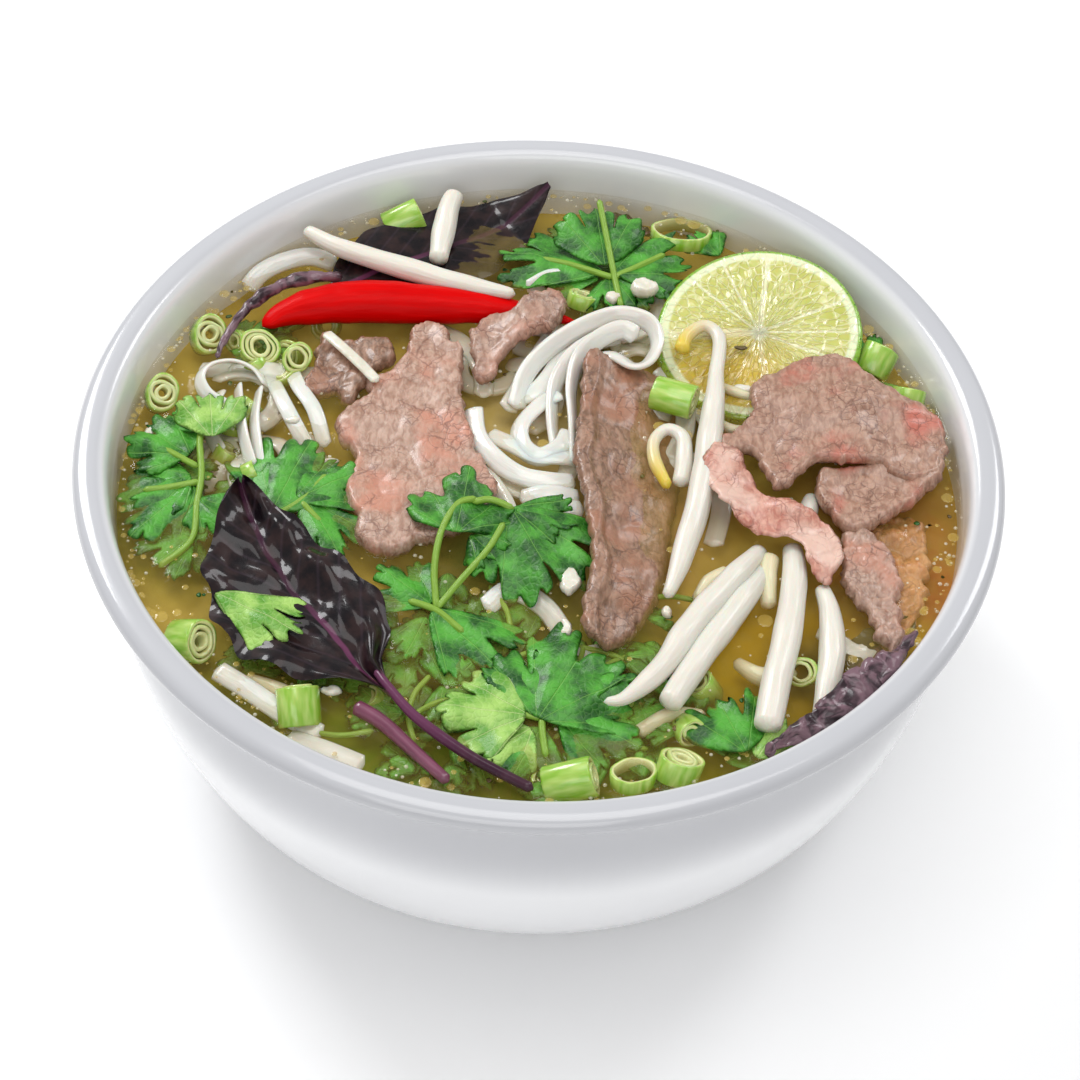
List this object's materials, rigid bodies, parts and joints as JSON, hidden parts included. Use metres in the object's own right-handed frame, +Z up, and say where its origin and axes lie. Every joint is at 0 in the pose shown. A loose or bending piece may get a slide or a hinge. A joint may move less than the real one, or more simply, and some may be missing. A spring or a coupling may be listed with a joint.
{
  "type": "bowl of pho noodle soup",
  "caption": "White porcelain bowl of pho: broth with rice noodles, sliced beef, lime, chilli, purple basil, coriander, bean sprouts and scallions.",
  "frame": {"origin": "middle of the foot ring, on the surface that the bowl stands on", "axes": "+Z up through the middle of the bowl; -Y towards the diner; +X to the diner's right"},
  "size_m": [0.2, 0.2, 0.08],
  "materials": {
    "porcelain": "glossy white glaze",
    "broth": "clear liquid with drops of oil",
    "noodle": "wet, slightly see-through rice noodle",
    "beef": "moist cooked beef with a fibrous grain",
    "lime": "wet lime flesh, white pith and green rind",
    "chilli": "glossy waxy skin",
    "purple_basil": "puckered dark leaf with a wet gloss",
    "coriander": "thin wet leaf",
    "bean_sprout": "crisp, slightly see-through stem",
    "scallion": "wet green and white rings"
  },
  "bodies": {
    "root": {"basil_leaf_back": "purple_basil", "basil_leaf_front": "purple_basil", "basil_leaf_left": "purple_basil", "basil_leaf_right": "purple_basil", "basil_stalk": "purple_basil", "beef_back": "beef", "beef_curl": "beef", "beef_edge": "beef", "beef_left": "beef", "beef_low": "beef", "beef_right": "beef", "beef_right_fold": "beef", "beef_small": "beef", "bowl": "porcelain", "broth": "broth", "coriander_back": "coriander", "coriander_front": "coriander", "coriander_left": "coriander", "coriander_low_right": "coriander", "coriander_lower": "coriander", "coriander_middle": "coriander", "coriander_on_leaf": "coriander", "coriander_pale": "coriander", "coriander_upper": "coriander", "lime_slice": "lime", "noodles_left": "noodle", "noodles_middle": "noodle", "red_chilli": "chilli", "scallion_back_left": "scallion", "scallion_back_ring": "scallion", "scallion_back_wide": "scallion", "scallion_below_leaf": "scallion", "scallion_by_beef": "scallion", "scallion_by_chilli": "scallion", "scallion_far_left": "scallion", "scallion_front_rim": "scallion", "scallion_front_ring": "scallion", "scallion_front_round": "scallion", "scallion_left_rim": "scallion", "scallion_lower_left": "scallion", "scallion_right_low": "scallion", "scallion_right_rim": "scallion", "scallion_ring_left": "scallion", "sprout_back_long": "bean_sprout", "sprout_back_short": "bean_sprout", "sprout_curl": "bean_sprout", "sprout_far_right": "bean_sprout", "sprout_middle_long": "bean_sprout", "sprout_pair_left": "bean_sprout", "sprout_pair_right": "bean_sprout", "sprout_right": "bean_sprout", "sprout_right_stub": "bean_sprout"}
  },
  "joints": []
}
